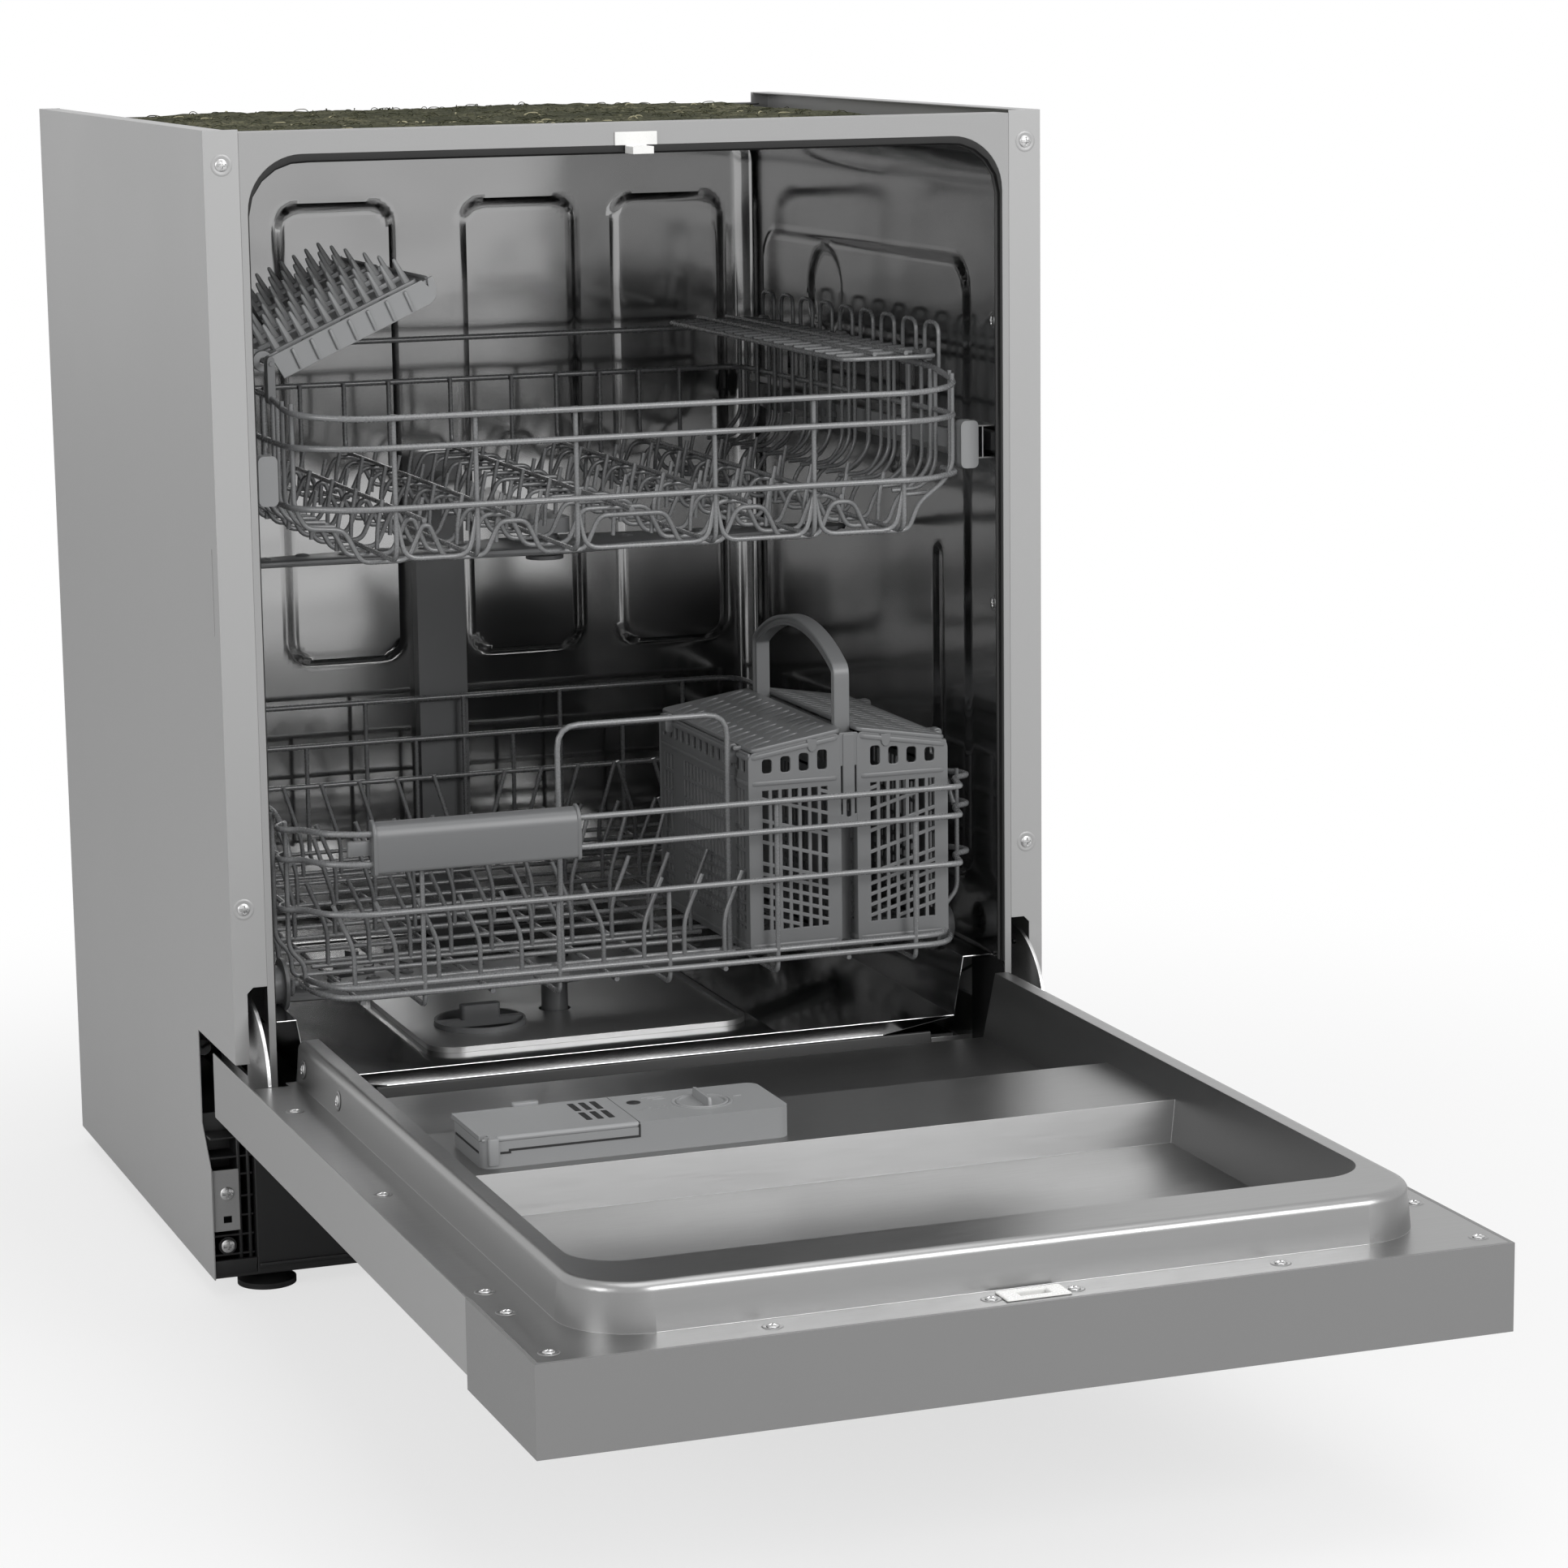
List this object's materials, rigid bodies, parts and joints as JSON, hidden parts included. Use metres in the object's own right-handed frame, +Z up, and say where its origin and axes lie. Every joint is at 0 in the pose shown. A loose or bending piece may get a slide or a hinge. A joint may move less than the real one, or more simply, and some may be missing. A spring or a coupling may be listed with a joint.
{
  "type": "dishwasher",
  "caption": "Built-under household dishwasher with an open drop-down door, two sliding wire baskets, a cutlery basket and turning spray arms.",
  "frame": {"origin": "on the floor, under the middle of the whole object with its door open", "axes": "+X to the right seen from the front, +Y from the door towards the back, +Z up"},
  "size_m": [0.5986, 1.2366, 0.82],
  "materials": {
    "painted_side": "satin grey paint over galvanised steel",
    "door_steel": "fine vertical brushing",
    "tub_steel": "bright, nearly mirror finish",
    "galvanised": "dull zinc spangle",
    "fascia_plastic": "silver-grey satin",
    "black_plastic": "fine grained",
    "grey_plastic": "satin",
    "light_plastic": "satin",
    "white_plastic": "smooth",
    "wire_coating": "nylon coated steel wire",
    "gasket_rubber": "soft matt",
    "felt": "loose fibre mat",
    "filter_mesh": "fine perforated sheet",
    "motor_metal": "cast",
    "weight_iron": "raw",
    "hinge_steel": "zinc plated",
    "spring_steel": "oiled"
  },
  "bodies": {
    "cabinet": {"left_side_panel": "painted_side", "right_side_panel": "painted_side", "front_frame": "galvanised", "rear_panel": "galvanised", "rear_cross_member": "black_plastic", "insulation_blanket": "felt", "latch_striker": "white_plastic", "tub_wrap": "tub_steel", "tub_back": "tub_steel", "tub_bottom": "tub_steel", "door_gasket": "gasket_rubber", "bottom_seal": "gasket_rubber", "sump": "grey_plastic", "filter_plate": "filter_mesh", "softener": "white_plastic", "feed_pipe": "grey_plastic", "rail_channels": "hinge_steel", "base_tray": "black_plastic", "base_brackets": "galvanised", "rear_feet": "black_plastic", "wash_pump": "motor_metal", "drain_pump": "white_plastic", "inlet_valve": "white_plastic", "counterweight": "weight_iron", "hinge_brackets": "hinge_steel", "hinge_springs": "spring_steel"},
    "door": {"door_liner": "tub_steel", "door_panel": "door_steel", "fascia": "fascia_plastic", "control_board": "black_plastic", "hinge_arms": "hinge_steel", "latch_housing": "white_plastic", "dispenser_body": "light_plastic"},
    "dispenser_lid": {"dispenser_lid": "light_plastic"},
    "rinse_aid_cap": {"rinse_aid_cap": "light_plastic"},
    "power_button": {"power_button": "fascia_plastic"},
    "start_button": {"start_button": "fascia_plastic"},
    "lower_basket": {"lower_basket": "wire_coating", "basket_grip": "light_plastic", "cutlery_basket": "grey_plastic", "cutlery_handle": "grey_plastic"},
    "cutlery_lid_left": {"cutlery_lid_left": "grey_plastic"},
    "cutlery_lid_right": {"cutlery_lid_right": "grey_plastic"},
    "wheels_first": {"wheels_first": "grey_plastic"},
    "wheels_second": {"wheels_second": "grey_plastic"},
    "wheels_third": {"wheels_third": "grey_plastic"},
    "wheels_fourth": {"wheels_fourth": "grey_plastic"},
    "moving_rails": {"moving_rails": "light_plastic"},
    "upper_basket": {"upper_basket": "wire_coating", "upper_arm_feed": "grey_plastic"},
    "cup_shelf": {"cup_shelf": "wire_coating"},
    "tine_tray": {"tine_tray": "light_plastic"},
    "upper_spray_arm": {"upper_spray_arm": "grey_plastic"},
    "lower_spray_arm": {"lower_spray_arm": "grey_plastic"},
    "filter_cylinder": {"filter_cylinder": "grey_plastic"},
    "float_cap": {"float_cap": "grey_plastic"},
    "softener_cap": {"softener_cap": "grey_plastic"},
    "front_foot_left": {"front_foot_left": "black_plastic"},
    "front_foot_right": {"front_foot_right": "black_plastic"}
  },
  "joints": [
    {"name": "door_hinge", "type": "hinge", "parent": "cabinet", "child": "door", "pos_m": [0, 0.03975, 0.158], "axis": [1, 0, 0], "range_deg": [-90, 0], "deforming": ["hinge_springs"]},
    {"name": "dispenser_lid_hinge", "type": "hinge", "parent": "door", "child": "dispenser_lid", "pos_m": [-0.17, -0.25805, 0.2098], "axis": [-1, 0, 0], "range_deg": [-100, 0]},
    {"name": "rinse_aid_cap_turn", "type": "hinge", "parent": "door", "child": "rinse_aid_cap", "pos_m": [-0.066, -0.22725, 0.212], "axis": [0, 0, 1], "range_deg": [0, 90]},
    {"name": "power_button_press", "type": "slide", "parent": "door", "child": "power_button", "axis": [0, 0, 1], "range_m": [0, 0.0015], "stiffness_N_per_m": 600},
    {"name": "start_button_press", "type": "slide", "parent": "door", "child": "start_button", "axis": [0, 0, 1], "range_m": [0, 0.0015], "stiffness_N_per_m": 600},
    {"name": "lower_basket_slide", "type": "slide", "parent": "cabinet", "child": "lower_basket", "axis": [0, -1, 0], "range_m": [0, 0.48]},
    {"name": "cutlery_lid_left_hinge", "type": "hinge", "parent": "lower_basket", "child": "cutlery_lid_left", "pos_m": [0.0753, 0.17375, 0.3772], "axis": [0, -1, 0], "range_deg": [0, 90]},
    {"name": "cutlery_lid_right_hinge", "type": "hinge", "parent": "lower_basket", "child": "cutlery_lid_right", "pos_m": [0.2317, 0.17375, 0.3772], "axis": [0, 1, 0], "range_deg": [0, 90]},
    {"name": "wheels_first_turn", "type": "hinge", "parent": "lower_basket", "child": "wheels_first", "pos_m": [0, 0.14925, 0.2247], "axis": [1, 0, 0], "continuous": true},
    {"name": "wheels_second_turn", "type": "hinge", "parent": "lower_basket", "child": "wheels_second", "pos_m": [0, 0.24925, 0.2247], "axis": [1, 0, 0], "continuous": true},
    {"name": "wheels_third_turn", "type": "hinge", "parent": "lower_basket", "child": "wheels_third", "pos_m": [0, 0.39925, 0.2247], "axis": [1, 0, 0], "continuous": true},
    {"name": "wheels_fourth_turn", "type": "hinge", "parent": "lower_basket", "child": "wheels_fourth", "pos_m": [0, 0.49925, 0.2247], "axis": [1, 0, 0], "continuous": true},
    {"name": "rail_slide", "type": "slide", "parent": "cabinet", "child": "moving_rails", "axis": [0, -1, 0], "range_m": [0, 0.21]},
    {"name": "upper_basket_slide", "type": "slide", "parent": "moving_rails", "child": "upper_basket", "axis": [0, -1, 0], "range_m": [0, 0.21]},
    {"name": "cup_shelf_fold", "type": "hinge", "parent": "upper_basket", "child": "cup_shelf", "pos_m": [0.243, 0.31425, 0.6455], "axis": [0, 1, 0], "range_deg": [0, 85]},
    {"name": "tine_tray_fold", "type": "hinge", "parent": "upper_basket", "child": "tine_tray", "pos_m": [-0.243, 0.26425, 0.66], "axis": [0, -1, 0], "range_deg": [0, 40]},
    {"name": "upper_spray_arm_turn", "type": "hinge", "parent": "upper_basket", "child": "upper_spray_arm", "pos_m": [0, 0.29825, 0.502], "axis": [0, 0, 1], "continuous": true},
    {"name": "lower_spray_arm_turn", "type": "hinge", "parent": "cabinet", "child": "lower_spray_arm", "pos_m": [0, 0.29825, 0.184], "axis": [0, 0, 1], "continuous": true},
    {"name": "filter_twist", "type": "hinge", "parent": "cabinet", "child": "filter_cylinder", "pos_m": [-0.066, 0.27325, 0.15], "axis": [0, 0, 1], "range_deg": [0, 60]},
    {"name": "float_rise", "type": "slide", "parent": "cabinet", "child": "float_cap", "axis": [0, 0, 1], "range_m": [0, 0.008]},
    {"name": "softener_cap_turn", "type": "hinge", "parent": "cabinet", "child": "softener_cap", "pos_m": [-0.09, 0.46825, 0.15], "axis": [0, 0, 1], "range_deg": [0, 360]},
    {"name": "front_foot_left_turn", "type": "hinge", "parent": "cabinet", "child": "front_foot_left", "pos_m": [-0.255, 0.18425, 0], "axis": [0, 0, 1], "range_deg": [0, 720]},
    {"name": "front_foot_right_turn", "type": "hinge", "parent": "cabinet", "child": "front_foot_right", "pos_m": [0.255, 0.18425, 0], "axis": [0, 0, 1], "range_deg": [0, 720]}
  ],
  "couplings": [
    {"joint": "rail_slide", "follows": "upper_basket_slide", "ratio": 1},
    {"joint": "wheels_first_turn", "follows": "lower_basket_slide", "rad_per_m": 74.074},
    {"joint": "wheels_second_turn", "follows": "lower_basket_slide", "rad_per_m": 74.074},
    {"joint": "wheels_third_turn", "follows": "lower_basket_slide", "rad_per_m": 74.074},
    {"joint": "wheels_fourth_turn", "follows": "lower_basket_slide", "rad_per_m": 74.074}
  ]
}
